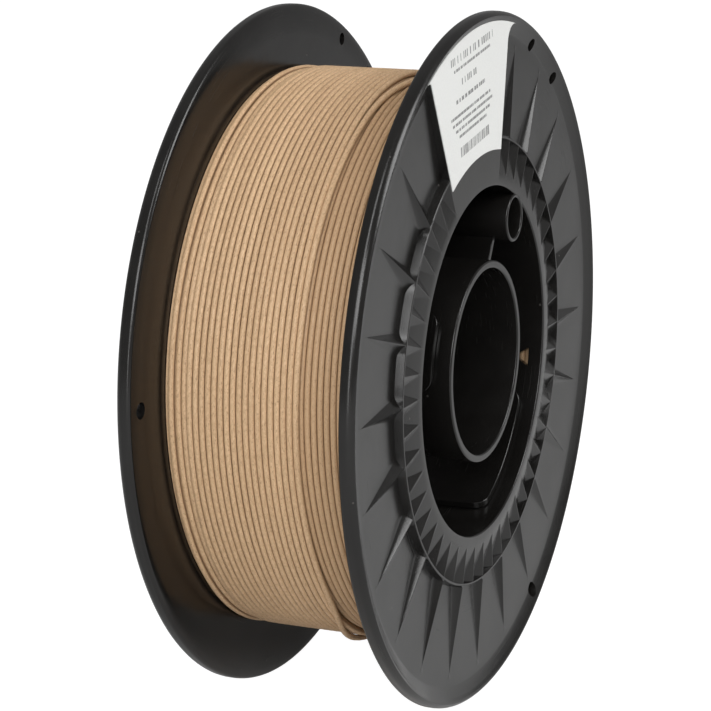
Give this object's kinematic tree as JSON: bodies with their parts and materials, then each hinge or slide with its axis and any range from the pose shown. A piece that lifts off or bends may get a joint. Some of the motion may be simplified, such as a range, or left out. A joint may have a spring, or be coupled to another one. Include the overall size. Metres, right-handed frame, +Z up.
{
  "type": "filament spool",
  "caption": "Two-part moulded spool with ribbed flanges, a wide centre bore and a driver tube, wound with round plastic filament.",
  "frame": {"origin": "centre of the spindle bore at mid-width, which is also the centre of the bounding box", "axes": "the bore's axis is Y, the labelled flange faces -Y, and +Z is up as the spool stands on its rims"},
  "size_m": [0.2, 0.0676, 0.2],
  "materials": {
    "spool_plastic": "satin black, injection moulded",
    "filament": "matte tan with a fine speckle",
    "label_paper": "smooth white film"
  },
  "bodies": {
    "root": {"label_side_half": "spool_plastic", "plain_side_half": "spool_plastic", "filament_inner_layers": "filament", "filament_outer_layer": "filament", "label": "label_paper"}
  },
  "joints": []
}
